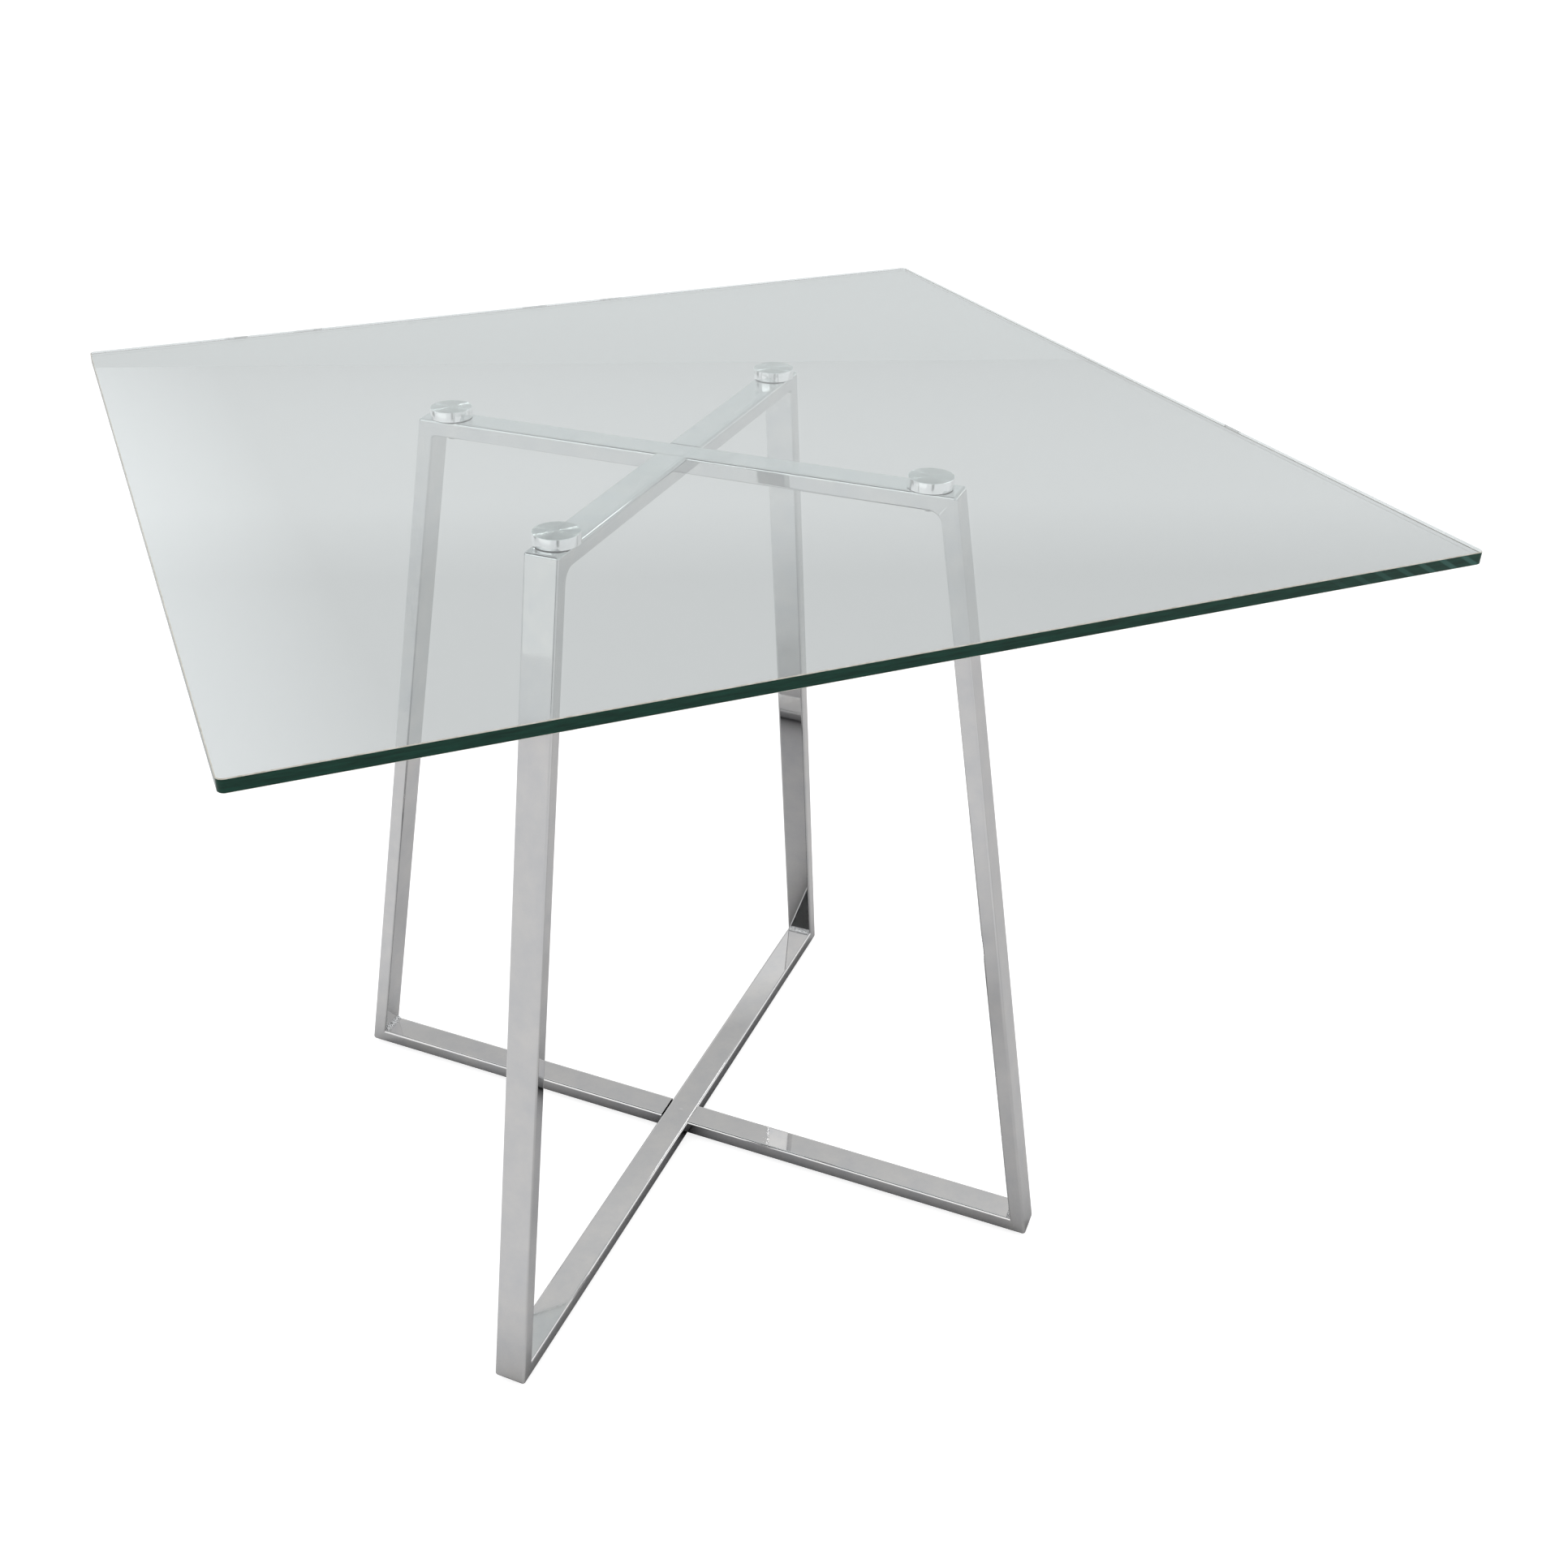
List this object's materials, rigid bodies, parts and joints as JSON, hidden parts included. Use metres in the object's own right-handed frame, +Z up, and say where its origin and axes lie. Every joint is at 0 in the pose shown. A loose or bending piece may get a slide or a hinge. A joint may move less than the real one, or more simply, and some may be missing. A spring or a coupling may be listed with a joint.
{
  "type": "dining table",
  "caption": "Square glass dining table: clear top on metal discs over two crossed, splayed chromed tube frames.",
  "frame": {"origin": "on the floor, under the middle of the glass top", "axes": "+Z up; the glass edges run along X and Y; the front is -Y; the two base frames stand under the glass diagonals"},
  "size_m": [0.9, 0.9, 0.7682],
  "materials": {
    "clear_glass": "clear tempered float glass, polished faces, ground and polished edge with a deep green look",
    "chromed_tube": "bright chrome plate over polished steel tube",
    "chromed_weld": "bright chrome plate over a rippled weld bead",
    "turned_steel": "lathe-turned top face with fine rings, polished side",
    "clear_bond": "clear cured adhesive",
    "dark_plastic": "thin matt washer",
    "zinc_steel": "bright zinc plate",
    "plain_steel": "bare turned steel, hidden inside the tube",
    "foot_plastic": "moulded polyethylene"
  },
  "bodies": {
    "root": {"glass_top": "clear_glass", "lower_bar_through": "chromed_tube", "upper_bar_through": "chromed_tube", "upper_half_bar_front_left": "chromed_tube", "upper_half_bar_back_right": "chromed_tube", "lower_half_bar_back_left": "chromed_tube", "lower_half_bar_front_right": "chromed_tube", "leg_front_left": "chromed_tube", "leg_back_right": "chromed_tube", "leg_back_left": "chromed_tube", "leg_front_right": "chromed_tube", "weld_bead_front_left": "chromed_weld", "weld_bead_back_right": "chromed_weld", "weld_bead_back_left": "chromed_weld", "weld_bead_front_right": "chromed_weld", "mounting_disc_front_left": "turned_steel", "mounting_disc_back_right": "turned_steel", "mounting_disc_back_left": "turned_steel", "mounting_disc_front_right": "turned_steel", "bond_film_front_left": "clear_bond", "bond_film_back_right": "clear_bond", "bond_film_back_left": "clear_bond", "bond_film_front_right": "clear_bond", "disc_washer_front_left": "dark_plastic", "disc_washer_back_right": "dark_plastic", "disc_washer_back_left": "dark_plastic", "disc_washer_front_right": "dark_plastic", "disc_screw_front_left": "zinc_steel", "disc_screw_back_right": "zinc_steel", "disc_screw_back_left": "zinc_steel", "disc_screw_front_right": "zinc_steel", "screw_washer_front_left": "zinc_steel", "screw_washer_back_right": "zinc_steel", "screw_washer_back_left": "zinc_steel", "screw_washer_front_right": "zinc_steel", "spacer_sleeve_front_left": "plain_steel", "spacer_sleeve_back_right": "plain_steel", "spacer_sleeve_back_left": "plain_steel", "spacer_sleeve_front_right": "plain_steel", "foot_front_left": "foot_plastic", "foot_back_right": "foot_plastic", "foot_back_left": "foot_plastic", "foot_front_right": "foot_plastic", "lower_joining_plate": "zinc_steel", "upper_joining_plate": "zinc_steel", "lower_plate_screws": "zinc_steel", "upper_plate_screws": "zinc_steel", "lower_threaded_bushes": "plain_steel", "upper_threaded_bushes": "plain_steel"}
  },
  "joints": []
}
